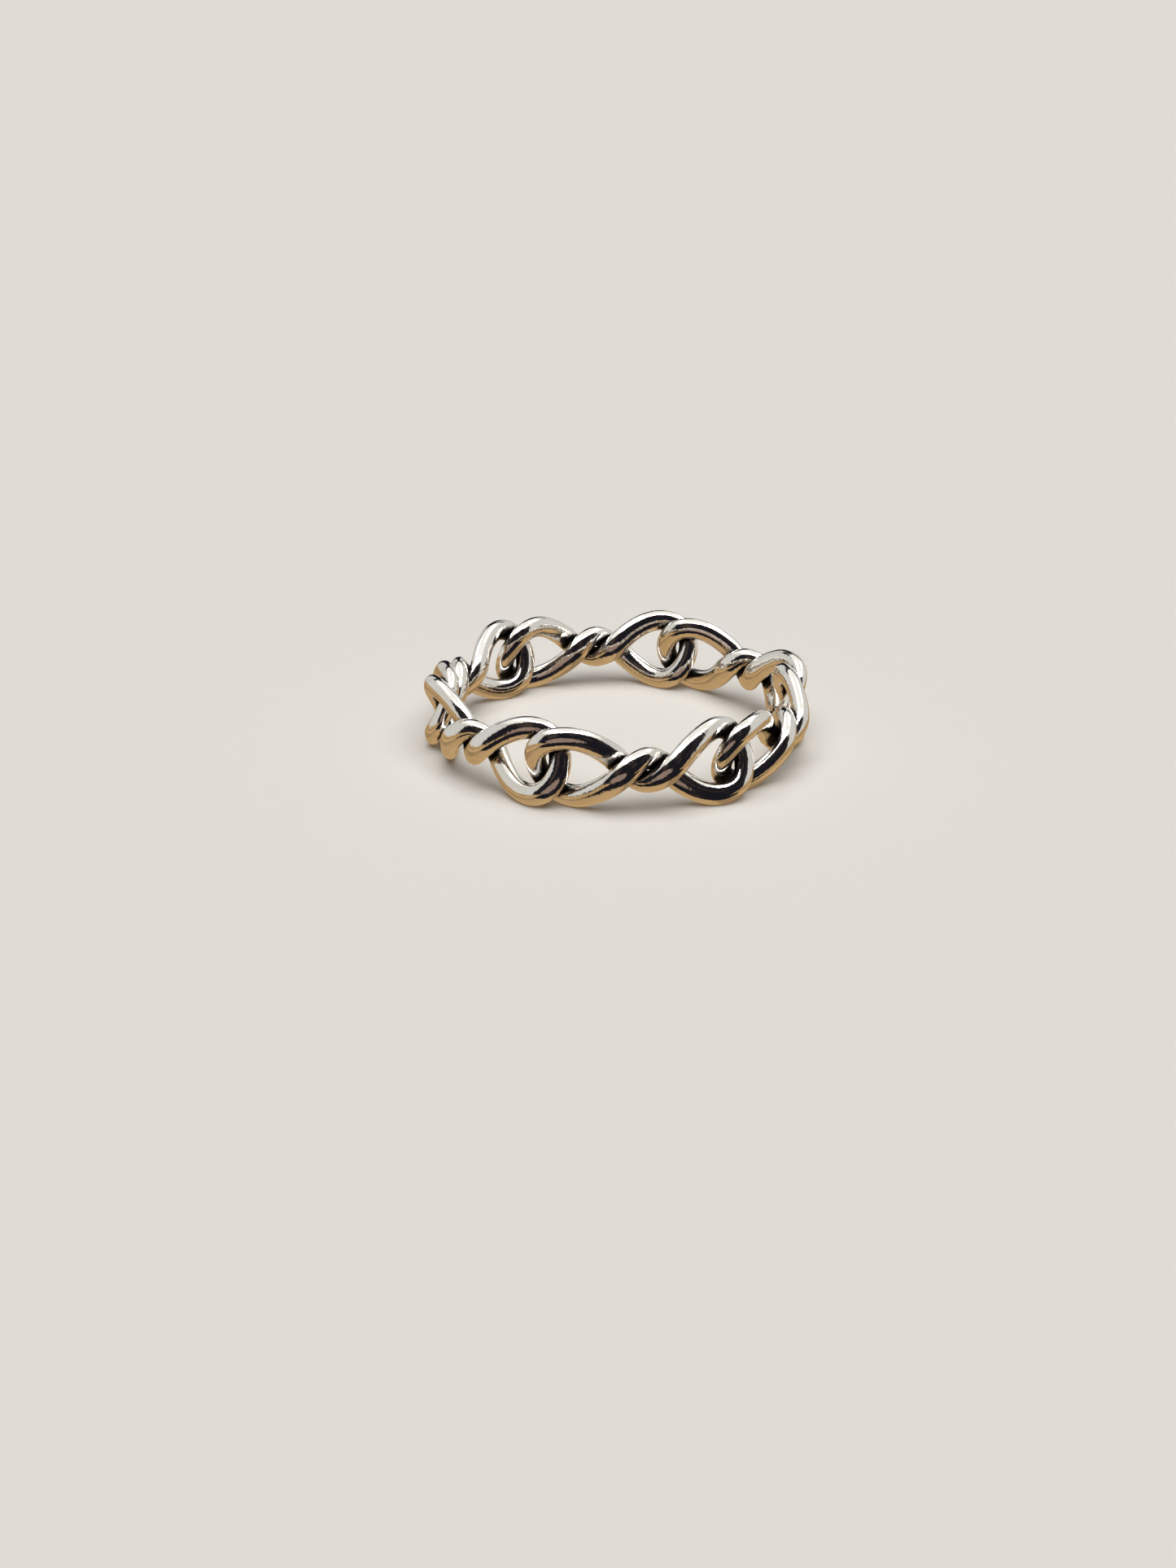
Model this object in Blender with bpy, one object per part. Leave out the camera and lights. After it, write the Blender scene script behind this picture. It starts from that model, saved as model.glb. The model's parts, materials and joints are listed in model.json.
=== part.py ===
"""Linked finger ring: six twisted wire links, each hooked through the next and closed round the finger.

Units are metres, +Z up along the finger. The origin is the centre of the ring, and the front is towards -Y,
where the middle of link_1 lies. The links are numbered round the ring from there, towards +X.
A link is one closed loop of silver wire, pinched and twisted one full turn at its middle, so that it has
an open eye at each end. The eye of one link is threaded through the eye of the next, and there the two
links swing on each other about an axis along the finger. link_3 is held and the others swing on it, in
one branch up to link_6 and one down to link_1. Where link_6 meets link_1 the loop is hooked but free.
"""

import math

import bmesh
import bpy
import numpy as np
from mathutils import Matrix, Vector

# Driving dimensions
LINK_COUNT = 6
HELD_LINK = 3
FRONT_ANGLE = -math.pi / 2
INNER_DIAMETER = 0.0173
BAND_WIDTH = 0.0046
WIRE_WIDTH = 0.00120
WIRE_THICKNESS = 0.00090
CROSSING_GAP = 0.00013
TWIST_GAP = 0.00004

# Worked out from them
CROSSING_LIFT = (WIRE_THICKNESS + CROSSING_GAP) / 2
MEAN_RADIUS = INNER_DIAMETER / 2 + CROSSING_LIFT + WIRE_THICKNESS / 2
LINK_PITCH = 2 * math.pi * MEAN_RADIUS / LINK_COUNT
HOOK_REACH = (WIRE_WIDTH + CROSSING_GAP) / 2
LINK_END = LINK_PITCH / 2 + HOOK_REACH
EYE_HEIGHT = (BAND_WIDTH - WIRE_WIDTH) / 2
TWIST_LIFT = (WIRE_WIDTH + TWIST_GAP) / 2

# How the wire runs. An eye's end is a half circle. Places in the twist are shares of the way from the
# middle to that half circle's centre, rises are shares of EYE_HEIGHT, depths shares of CROSSING_LIFT.
QUARTER_TURN_PLACE = 0.27
NECK_PLACE = 0.50
NECK_RISE = 0.50
NECK_DEPTH = 0.62
SHOULDER_ANGLE = math.radians(108)
SHOULDER_DEPTH = 0.40

# Fineness of the mesh
WIRE_STATIONS = 64
WIRE_SIDES = 10
FINE_STEPS = 40

# Polished silver
SILVER_COLOUR = (0.80, 0.79, 0.76, 1.0)
SILVER_ROUGHNESS = 0.12


def round_eye(centre, angle):
    """A place on the left eye's half circle, that angle down from the link's end: (along, across) the band."""
    return -centre - EYE_HEIGHT * math.cos(angle), -EYE_HEIGHT * math.sin(angle)


def strand_knots():
    """One strand of a link, from its left end to its right: (along the band, across the band, outwards).

    The strand runs round the underside of the left eye, passes over its twin at the middle of the link
    and dives under it, then runs round the underside of the right eye.
    """
    eye_centre = LINK_END - EYE_HEIGHT
    crossing_angle = math.acos((LINK_PITCH / 2 - eye_centre) / EYE_HEIGHT)
    left_half = [
        (-LINK_END, 0.0, 0.0),
        (*round_eye(eye_centre, crossing_angle), -CROSSING_LIFT),
        (*round_eye(eye_centre, SHOULDER_ANGLE), -SHOULDER_DEPTH * CROSSING_LIFT),
        (-NECK_PLACE * eye_centre, -NECK_RISE * EYE_HEIGHT, NECK_DEPTH * CROSSING_LIFT),
        (-QUARTER_TURN_PLACE * eye_centre, 0.0, CROSSING_LIFT),
    ]
    middle = [(0.0, TWIST_LIFT, 0.0)]
    right_half = [(-along, across, -outwards) for along, across, outwards in reversed(left_half[1:])]
    return left_half + middle + right_half


def link_knots():
    """The closed loop: a strand, then the same strand turned half round about the outward axis."""
    strand = strand_knots()
    twin = [(-along, -across, outwards) for along, across, outwards in strand]
    return np.array(strand + twin)


def smooth_loop(knots, count):
    """Points spaced evenly along the closed cubic spline that passes through the knots with no kink."""
    total = len(knots)
    following = np.roll(knots, -1, axis=0)
    system = 4 * np.eye(total) + np.roll(np.eye(total), 1, axis=0) + np.roll(np.eye(total), -1, axis=0)
    slopes = np.linalg.solve(system, 3 * (following - np.roll(knots, 1, axis=0)))
    next_slopes = np.roll(slopes, -1, axis=0)
    share = (np.arange(FINE_STEPS) / FINE_STEPS)[None, :, None]
    curve = (
        knots[:, None] * (2 * share**3 - 3 * share**2 + 1)
        + slopes[:, None] * (share**3 - 2 * share**2 + share)
        + following[:, None] * (3 * share**2 - 2 * share**3)
        + next_slopes[:, None] * (share**3 - share**2)
    ).reshape(-1, 3)
    steps = np.linalg.norm(np.roll(curve, -1, axis=0) - curve, axis=1)
    travelled = np.concatenate([[0.0], np.cumsum(steps)])
    closed = np.vstack([curve, curve[:1]])
    wanted = np.arange(count) * travelled[-1] / count
    return np.column_stack([np.interp(wanted, travelled, closed[:, axis]) for axis in range(3)])


def bend_round_finger(point):
    """A point of the flat link, rolled round the finger. The link's middle comes to rest on the +X axis."""
    along, across, outwards = point
    angle = along / MEAN_RADIUS
    radius = MEAN_RADIUS + outwards
    return Vector((radius * math.cos(angle), radius * math.sin(angle), across))


def link_mesh():
    """The wire swept round its loop. Its section is an oval whose thin way stays pointed at the finger."""
    path = [bend_round_finger(point) for point in smooth_loop(link_knots(), WIRE_STATIONS)]
    section = Matrix.Diagonal((WIRE_WIDTH / 2, WIRE_THICKNESS / 2, 1.0, 1.0))
    bm = bmesh.new()
    rings = []
    for i, centre in enumerate(path):
        tangent = (path[(i + 1) % len(path)] - path[i - 1]).normalized()
        outward = Vector((centre.x, centre.y, 0.0))
        outward = (outward - outward.dot(tangent) * tangent).normalized()
        sideways = tangent.cross(outward)
        station = Matrix((sideways, outward, tangent)).transposed().to_4x4()
        station.translation = centre
        made = bmesh.ops.create_circle(bm, segments=WIRE_SIDES, radius=1.0, matrix=station @ section)
        rings.append(made["verts"])
    for i, ring in enumerate(rings):
        following = rings[(i + 1) % len(rings)]
        for side in range(WIRE_SIDES):
            after = (side + 1) % WIRE_SIDES
            bm.faces.new((ring[side], ring[after], following[after], following[side]))
    bmesh.ops.recalc_face_normals(bm, faces=bm.faces)
    mesh = bpy.data.meshes.new("twisted_link")
    bm.to_mesh(mesh)
    bm.free()
    mesh.shade_smooth()
    return mesh


def silver():
    material = bpy.data.materials.new("silver")
    material.use_nodes = True
    shader = material.node_tree.nodes["Principled BSDF"]
    shader.inputs["Base Color"].default_value = SILVER_COLOUR
    shader.inputs["Metallic"].default_value = 1.0
    shader.inputs["Roughness"].default_value = SILVER_ROUGHNESS
    return material


def interlock_position(number):
    """Where link `number` hooks into the next one, halfway round the ring between their middles."""
    angle = FRONT_ANGLE + 2 * math.pi * (number - 0.5) / LINK_COUNT
    return Vector((MEAN_RADIUS * math.cos(angle), MEAN_RADIUS * math.sin(angle), 0.0))


def place_link(mesh, number, hinge, hinge_position):
    """Link `number`, parented to the empty that it swings on. Its mesh is drawn round the ring's centre."""
    link = bpy.data.objects.new(f"link_{number}", mesh)
    link.parent = hinge
    link.location = -hinge_position
    link.rotation_euler.z = FRONT_ANGLE + 2 * math.pi * (number - 1) / LINK_COUNT
    bpy.context.scene.collection.objects.link(link)


def place_branch(mesh, last, direction):
    """The links on one side of the held link, each swinging on its interlock with the link before it."""
    parent = None
    parent_position = Vector()
    for number in range(HELD_LINK + direction, last + direction, direction):
        position = interlock_position(min(number, number - direction))
        hinge = bpy.data.objects.new(f"hinge_of_link_{number}", None)
        hinge.parent = parent
        hinge.location = position - parent_position
        bpy.context.scene.collection.objects.link(hinge)
        place_link(mesh, number, hinge, position)
        parent = hinge
        parent_position = position


def main():
    for old in list(bpy.data.objects):
        bpy.data.objects.remove(old)
    mesh = link_mesh()
    mesh.materials.append(silver())
    place_link(mesh, HELD_LINK, None, Vector())
    place_branch(mesh, LINK_COUNT, 1)
    place_branch(mesh, 1, -1)


main()
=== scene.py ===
"""The finished look of a linked finger ring: six twisted links of polished, darkened silver wire."""

import json
import math

import bmesh
import bpy
import numpy as np
from mathutils import Matrix, Vector, noise
from mathutils.bvhtree import BVHTree


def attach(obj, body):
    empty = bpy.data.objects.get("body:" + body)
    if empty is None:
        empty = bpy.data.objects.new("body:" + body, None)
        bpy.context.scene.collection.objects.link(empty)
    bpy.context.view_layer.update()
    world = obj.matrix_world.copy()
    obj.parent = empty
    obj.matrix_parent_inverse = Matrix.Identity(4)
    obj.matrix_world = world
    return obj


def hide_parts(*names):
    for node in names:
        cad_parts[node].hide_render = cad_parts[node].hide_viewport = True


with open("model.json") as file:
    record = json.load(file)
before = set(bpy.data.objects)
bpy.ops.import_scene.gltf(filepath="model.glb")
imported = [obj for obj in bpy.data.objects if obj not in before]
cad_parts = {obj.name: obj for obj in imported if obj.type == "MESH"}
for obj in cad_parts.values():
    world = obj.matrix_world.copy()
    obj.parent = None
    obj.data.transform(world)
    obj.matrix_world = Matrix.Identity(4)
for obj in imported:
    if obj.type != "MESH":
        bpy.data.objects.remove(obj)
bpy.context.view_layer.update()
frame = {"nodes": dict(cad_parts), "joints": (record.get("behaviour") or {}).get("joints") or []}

# ---- The wire of one link ----
# Each link is one length of silver wire, drawn through an oval hole, bent into a loop, soldered to itself,
# and then pinched and twisted one full turn at its middle, which leaves an open eye at each end. The wire
# is a little fuller where its two strands cross in the twist, and finest round the ends of the eyes.
link_count = len(frame["nodes"])
wire_width = 0.00120
wire_thickness = 0.00090
band_width = 0.00460
crossing_gap = 0.00013
twist_gap = 0.00004
mean_radius = Vector(frame["joints"][0]["pos_m"]).length
crossing_lift = (wire_thickness + crossing_gap) / 2
half_pitch = math.pi * mean_radius / link_count
link_end = half_pitch + (wire_width + crossing_gap) / 2
eye_height = (band_width - wire_width) / 2
eye_centre = link_end - eye_height
twist_lift = (wire_width + twist_gap) / 2
shoulder_angle = math.radians(108)
shoulder_depth = 0.40 * crossing_lift
neck = (-0.50 * eye_centre, -0.50 * eye_height, 0.62 * crossing_lift)
quarter_turn = (-0.27 * eye_centre, 0.0, crossing_lift)
stations = 320
sides = 40
spline_steps = 60


def round_eye(angle):
    """A place on the left eye's half circle, that angle down from the link's end: along the band, across."""
    return -eye_centre - eye_height * math.cos(angle), -eye_height * math.sin(angle)


def strand_knots():
    """One strand from its left end to its right: along the band, across it, outwards, width, thickness.

    It runs round the underside of the left eye, over its twin just before the middle and under it just
    after, then round the underside of the right eye. The last two are shares of the wire's own size.
    """
    crossing_angle = math.acos((half_pitch - eye_centre) / eye_height)
    left_half = [
        (-link_end, 0.0, 0.0, 0.97, 1.00),
        (*round_eye(crossing_angle), -crossing_lift, 0.98, 0.97),
        (*round_eye(shoulder_angle), -shoulder_depth, 1.00, 1.00),
        (*neck, 1.06, 1.03),
        (*quarter_turn, 1.08, 1.03),
    ]
    middle = [(0.0, twist_lift, 0.0, 0.98, 1.02)]
    right_half = [(-along, across, -out, *size) for along, across, out, *size in reversed(left_half[1:])]
    return left_half + middle + right_half


def closed_spline(knots, count):
    """Points spaced evenly along the closed cubic spline through the knots."""
    total = len(knots)
    after = np.roll(knots, -1, axis=0)
    system = 4 * np.eye(total) + np.roll(np.eye(total), 1, axis=0) + np.roll(np.eye(total), -1, axis=0)
    slopes = np.linalg.solve(system, 3 * (after - np.roll(knots, 1, axis=0)))
    share = (np.arange(spline_steps) / spline_steps)[None, :, None]
    curve = (
        knots[:, None] * (2 * share**3 - 3 * share**2 + 1)
        + slopes[:, None] * (share**3 - 2 * share**2 + share)
        + after[:, None] * (3 * share**2 - 2 * share**3)
        + np.roll(slopes, -1, axis=0)[:, None] * (share**3 - share**2)
    ).reshape(-1, knots.shape[1])
    closed = np.vstack([curve, curve[:1]])
    travelled = np.concatenate([[0.0], np.cumsum(np.linalg.norm(np.diff(closed[:, :3], axis=0), axis=1))])
    wanted = np.arange(count) * travelled[-1] / count
    return np.column_stack([np.interp(wanted, travelled, column) for column in closed.T])


def sweep_link():
    """The link's mesh, its middle on the +X axis, with a UV map: U runs along the wire and V round it."""
    strand = strand_knots()
    twin = [(-along, -across, out, *size) for along, across, out, *size in strand]
    path = closed_spline(np.array(strand + twin), stations)
    angles = path[:, 0] / mean_radius
    radii = mean_radius + path[:, 2]
    centres = np.column_stack([radii * np.cos(angles), radii * np.sin(angles), path[:, 1]])
    tangents = np.roll(centres, -1, axis=0) - np.roll(centres, 1, axis=0)
    bm = bmesh.new()
    place = {}
    rings = []
    for i, (centre, tangent) in enumerate(zip(centres, tangents)):
        tangent = Vector(tangent).normalized()
        outward = Vector((centre[0], centre[1], 0.0))
        outward = (outward - outward.dot(tangent) * tangent).normalized()
        station = Matrix((tangent.cross(outward), outward, tangent)).transposed().to_4x4()
        station.translation = centre
        section = Matrix.Diagonal((path[i, 3] * wire_width / 2, path[i, 4] * wire_thickness / 2, 1.0, 1.0))
        ring = bmesh.ops.create_circle(bm, segments=sides, radius=1.0, matrix=station @ section)["verts"]
        for side, vert in enumerate(ring):
            place[vert] = (i / stations, side / sides)
        rings.append(list({edge for vert in ring for edge in vert.link_edges}))
    for i, ring in enumerate(rings):
        bmesh.ops.bridge_loops(bm, edges=ring + rings[(i + 1) % stations])
    bmesh.ops.recalc_face_normals(bm, faces=bm.faces)
    uv_map = bm.loops.layers.uv.new("wire")
    for face in bm.faces:
        corners = [place[loop.vert] for loop in face.loops]
        last = [max(corner[axis] for corner in corners) for axis in range(2)]
        for loop, corner in zip(face.loops, corners):
            loop[uv_map].uv = [share + (last[axis] - share > 0.5) for axis, share in enumerate(corner)]
    mesh = bpy.data.meshes.new("link")
    bm.to_mesh(mesh)
    bm.free()
    mesh.shade_smooth()
    return mesh


link_mesh = sweep_link()


# ---- Where the darkening stays ----
# The ring is blackened all over and then polished, so the black is rubbed off the proud wire and stays
# where the wheel can't reach: in the twist, where two links cross, and in the corners of the eyes.
shelter_reach = 0.0011
shelter_rays = 28
least_facing = 0.08
clear_of_wire = 0.00001


def turned(mesh, turns):
    """A copy of the mesh turned round the finger by that many links."""
    copy = mesh.copy()
    copy.transform(Matrix.Rotation(2 * math.pi * turns / link_count, 4, "Z"))
    return copy


def spread_directions(count):
    """Directions spread evenly over a ball."""
    golden = math.pi * (3 - math.sqrt(5))
    heights = [1 - (2 * i + 1) / count for i in range(count)]
    return [
        Vector((math.cos(i * golden) * math.sqrt(1 - z * z), math.sin(i * golden) * math.sqrt(1 - z * z), z))
        for i, z in enumerate(heights)
    ]


def mark_shelter(mesh):
    """Stores on each point how much of its outlook is closed off by wire within reach, from 0 to 1."""
    points, faces = [], []
    for turns in (0, 1, -1):
        copy = turned(mesh, turns)
        start = len(points)
        points += [vert.co.copy() for vert in copy.vertices]
        faces += [[start + i for i in face.vertices] for face in copy.polygons]
        bpy.data.meshes.remove(copy)
    tree = BVHTree.FromPolygons(points, faces)
    directions = spread_directions(2 * shelter_rays)
    shelter = []
    for vert in mesh.vertices:
        start = vert.co + vert.normal * clear_of_wire
        closed = 0.0
        open_to = 0.0
        for direction in directions:
            facing = direction.dot(vert.normal)
            if facing <= least_facing:
                continue
            open_to += facing
            distance = tree.ray_cast(start, direction, shelter_reach)[3]
            if distance is not None:
                closed += facing * (1 - distance / shelter_reach) ** 0.5
        shelter.append(closed / open_to)
    attribute = mesh.attributes.new("shelter", "FLOAT", "POINT")
    attribute.data.foreach_set("value", shelter)


mark_shelter(link_mesh)


# ---- The silver ----
# Sterling silver, blackened and buffed to a bright polish. Buffing leaves hair-fine lines along the wire,
# over the faint ripple and the fine dimples of handwork, and the black is mottled at a recess's edges.
def polished_silver():
    material = bpy.data.materials.new("darkened_polished_silver")
    material.use_nodes = True
    nodes = material.node_tree.nodes
    links = material.node_tree.links
    shader = nodes["Principled BSDF"]
    shader.inputs["Metallic"].default_value = 1.0

    def add(kind, **sockets):
        node = nodes.new(kind)
        for name, value in sockets.items():
            node.inputs[name.replace("_", " ")].default_value = value
        return node

    def grain(scale, detail, source, roughness=0.5):
        node = add("ShaderNodeTexNoise", Scale=scale, Detail=detail, Roughness=roughness)
        links.new(source, node.inputs["Vector"])
        return node.outputs["Fac"]

    def ramp(value, start, end, low_value=0.0, high_value=1.0, smooth=True):
        node = nodes.new("ShaderNodeMapRange")
        node.interpolation_type = "SMOOTHSTEP" if smooth else "LINEAR"
        links.new(value, node.inputs["Value"])
        node.inputs["From Min"].default_value = start
        node.inputs["From Max"].default_value = end
        node.inputs["To Min"].default_value = low_value
        node.inputs["To Max"].default_value = high_value
        return node.outputs["Result"]

    def combine(operation, first, second):
        node = nodes.new("ShaderNodeMath")
        node.operation = operation
        links.new(first, node.inputs[0])
        if isinstance(second, float):
            node.inputs[1].default_value = second
        else:
            links.new(second, node.inputs[1])
        return node.outputs[0]

    def blend(first, second, share):
        node = nodes.new("ShaderNodeMix")
        node.data_type = "RGBA"
        links.new(share, node.inputs["Factor"])
        for socket, colour in ((node.inputs[6], first), (node.inputs[7], second)):
            if isinstance(colour, tuple):
                socket.default_value = colour
            else:
                links.new(colour, socket)
        return node.outputs[2]

    place = nodes.new("ShaderNodeTexCoord").outputs["Object"]
    wire = add("ShaderNodeUVMap")
    wire.uv_map = "wire"
    drawn = add("ShaderNodeMapping", Scale=(26.0, 9.0, 1.0))
    links.new(wire.outputs["UV"], drawn.inputs["Vector"])
    shelter = nodes.new("ShaderNodeAttribute")
    shelter.attribute_name = "shelter"

    clean_silver = (0.94, 0.925, 0.90, 1.0)
    warm_silver = (0.90, 0.865, 0.81, 1.0)
    brown_haze = (0.42, 0.385, 0.34, 1.0)
    antique_black = (0.028, 0.026, 0.028, 1.0)

    mottle = grain(5200.0, 5.0, place, 0.65)
    sheltered = combine("ADD", shelter.outputs["Fac"], ramp(mottle, 0.25, 0.75, -0.13, 0.13, smooth=False))
    black = ramp(sheltered, 0.27, 0.41)
    haze = ramp(sheltered, 0.14, 0.42, 0.0, 0.60)

    warmth = ramp(grain(420.0, 2.0, place), 0.35, 0.65)
    dulled = blend(blend(clean_silver, warm_silver, warmth), brown_haze, haze)
    links.new(blend(dulled, antique_black, black), shader.inputs["Base Color"])

    lines = grain(34.0, 6.0, drawn.outputs["Vector"], 0.7)
    buffed = ramp(lines, 0.30, 0.75, 0.045, 0.12)
    cloudy = combine("ADD", buffed, ramp(grain(900.0, 3.0, place), 0.5, 0.8, 0.0, 0.05))
    rough = combine("ADD", cloudy, combine("MULTIPLY", haze, 0.16))
    links.new(combine("ADD", rough, combine("MULTIPLY", black, 0.30)), shader.inputs["Roughness"])

    ripple = add("ShaderNodeBump", Distance=0.000014, Strength=1.0)
    links.new(grain(720.0, 1.5, place), ripple.inputs["Height"])
    dimple = add("ShaderNodeBump", Distance=0.0000090, Strength=1.0)
    links.new(grain(4600.0, 2.0, place), dimple.inputs["Height"])
    links.new(ripple.outputs["Normal"], dimple.inputs["Normal"])
    scratch = add("ShaderNodeBump", Distance=0.0000006, Strength=1.0)
    links.new(lines, scratch.inputs["Height"])
    links.new(dimple.outputs["Normal"], scratch.inputs["Normal"])
    pitting = add("ShaderNodeBump", Distance=0.000008, Strength=1.0)
    links.new(combine("MULTIPLY", mottle, black), pitting.inputs["Height"])
    links.new(scratch.outputs["Normal"], pitting.inputs["Normal"])
    links.new(pitting.outputs["Normal"], shader.inputs["Normal"])
    return material


link_mesh.materials.append(polished_silver())


# ---- The six links ----
# The links are made one by one and closed through each other round the finger. They are the same but for
# the slight unevenness of handwork.
uneven = 0.000010
uneven_size = 0.0013
front_turns = -0.25 * link_count
resting_height = 0.0
for number in range(1, link_count + 1):
    mesh = turned(link_mesh, front_turns + number - 1)
    mesh.name = f"silver_link_{number}"
    normals = [vert.normal.copy() for vert in mesh.vertices]
    for vert, normal in zip(mesh.vertices, normals):
        vert.co += normal * uneven * noise.noise(vert.co / uneven_size)
        resting_height = min(resting_height, vert.co.z)
    link = bpy.data.objects.new(f"silver_link_{number}", mesh)
    bpy.context.scene.collection.objects.link(link)
    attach(link, f"link_{number}")
    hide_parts(f"link_{number}")
bpy.data.meshes.remove(link_mesh)


# ---- The table, the light and the camera ----
# A plain pale table, which the silver doesn't reflect. What the silver reflects is a room of soft boxes:
# pale walls, a pale ceiling with brighter lamps in it, a dark gap in front with a brown card low in it, and
# under it all a board of honey-coloured planks, which gives the polished wire its golden undersides.
def table(height):
    """A pale floor at that height, lit by the skylight alone."""
    bm = bmesh.new()
    bmesh.ops.create_grid(bm, x_segments=1, y_segments=1, size=3.0)
    bmesh.ops.translate(bm, verts=bm.verts, vec=(0.0, 0.0, height))
    mesh = bpy.data.meshes.new("table")
    bm.to_mesh(mesh)
    bm.free()
    material = bpy.data.materials.new("pale_table")
    material.use_nodes = True
    shader = material.node_tree.nodes["Principled BSDF"]
    shader.inputs["Base Color"].default_value = (0.81, 0.775, 0.72, 1.0)
    shader.inputs["Roughness"].default_value = 0.75
    shader.inputs["Specular IOR Level"].default_value = 0.0
    mesh.materials.append(material)
    made = bpy.data.objects.new("table", mesh)
    made.visible_glossy = False
    made.visible_shadow = False
    bpy.context.scene.collection.objects.link(made)


def soft_box(name, at, aim, width, height, radiance, colour=(1.0, 1.0, 1.0), shape="RECTANGLE"):
    """A flat lamp of that brightness at a point, facing another."""
    lamp = bpy.data.lights.new(name, "AREA")
    lamp.shape = shape
    lamp.size = width
    lamp.size_y = height
    share = math.pi / 4 if shape == "ELLIPSE" else 1.0
    lamp.energy = radiance * math.pi * share * width * height
    lamp.color = colour
    made = bpy.data.objects.new(name, lamp)
    made.location = at
    made.rotation_euler = (Vector(aim) - Vector(at)).to_track_quat("-Z", "Y").to_euler()
    made.visible_camera = False
    made.visible_diffuse = False
    bpy.context.scene.collection.objects.link(made)


table(resting_height)
wall_white = (1.0, 0.99, 0.94)
board_gold = (1.0, 0.65, 0.29)
card_brown = (1.0, 0.70, 0.54)
room_width = 1.10
room_side = 0.55
room_back = 0.65
wall_middle = 0.165
wall_height = 0.57
lamp_level = 0.45
lamp_shine = 5.5
soft_box("ceiling", (0.0, 0.09, 0.46), (0.0, 0.09, 0.0), room_width, 0.74, 0.95, wall_white)
soft_box("front_strip", (0.02, -0.19, lamp_level), (0.02, -0.19, 0.0), 0.54, 0.11, lamp_shine)
soft_box("left_lamp", (-0.24, 0.10, lamp_level), (-0.24, 0.10, 0.0), 0.14, 0.26, lamp_shine)
soft_box("right_lamp", (0.27, 0.14, lamp_level), (0.27, 0.14, 0.0), 0.14, 0.26, lamp_shine)
side_walls = (("left_wall", -room_side, 0.235, 0.83), ("right_wall", room_side, 0.185, 0.93))
for name, across, along, length in side_walls:
    place = (across, along, wall_middle)
    soft_box(name, place, (0.0, along, wall_middle), length, wall_height, 0.62, wall_white)
for name, across in (("back_wall_left", -0.34), ("back_wall_right", 0.34)):
    place = (across, room_back, wall_middle)
    soft_box(name, place, (across, 0.0, wall_middle), 0.40, wall_height, 0.58, wall_white)

plank_count = 13
plank_width = room_width / plank_count
board_level = -0.12
for plank in range(plank_count):
    across = -room_side + room_width * (plank + 0.5) / plank_count
    front_edge = -0.095 if abs(across) < 0.23 else -0.26
    length = room_back - front_edge
    shine = 0.43 * (1.0 + 0.30 * math.sin(2.4 * plank + 0.8))
    place = (across, (front_edge + room_back) / 2, board_level)
    soft_box(f"plank_{plank}", place, (*place[:2], 1.0), plank_width, length, shine, board_gold)
soft_box("brown_card", (-0.14, -0.40, -0.06), (0.0, 0.0, 0.0), 0.44, 0.24, 0.26, card_brown, "ELLIPSE")

skylight = bpy.data.objects.new("skylight", bpy.data.lights.new("skylight", "SUN"))
skylight.data.energy = 3.0
skylight.data.angle = math.radians(70)
skylight.rotation_euler = (math.radians(18), 0.0, 0.0)
skylight.visible_camera = False
skylight.visible_glossy = False
bpy.context.scene.collection.objects.link(skylight)

world = bpy.data.worlds.new("studio")
world.use_nodes = True
bpy.context.scene.world = world
nodes = world.node_tree.nodes
links = world.node_tree.links
room = nodes["Background"]
clutter = nodes.new("ShaderNodeTexNoise")
clutter.inputs["Scale"].default_value = 2.3
clutter.inputs["Detail"].default_value = 1.0
links.new(nodes.new("ShaderNodeTexCoord").outputs["Generated"], clutter.inputs["Vector"])
shade = nodes.new("ShaderNodeValToRGB")
shade.color_ramp.elements[0].position = 0.54
shade.color_ramp.elements[0].color = (0.010, 0.010, 0.014, 1.0)
shade.color_ramp.elements[1].position = 0.74
shade.color_ramp.elements[1].color = (0.060, 0.042, 0.034, 1.0)
links.new(clutter.outputs["Fac"], shade.inputs["Fac"])
links.new(shade.outputs["Color"], room.inputs["Color"])
wall = nodes.new("ShaderNodeBackground")
wall.inputs["Color"].default_value = (0.747, 0.714, 0.663, 1.0)
choice = nodes.new("ShaderNodeMixShader")
links.new(nodes.new("ShaderNodeLightPath").outputs["Is Camera Ray"], choice.inputs["Fac"])
links.new(room.outputs["Background"], choice.inputs[1])
links.new(wall.outputs["Background"], choice.inputs[2])
links.new(choice.outputs["Shader"], nodes["World Output"].inputs["Surface"])

camera = bpy.data.objects.new("camera", bpy.data.cameras.new("camera"))
camera.location = (-0.01571, -0.10176, 0.03869)
camera.rotation_euler = [math.radians(turn) for turn in (67.08, -0.73, -7.61)]
camera.data.sensor_width = 36.0
camera.data.lens = 45.94
camera.data.clip_start = 0.005
bpy.context.scene.collection.objects.link(camera)
bpy.context.scene.camera = camera
bpy.context.scene.view_settings.view_transform = "Standard"
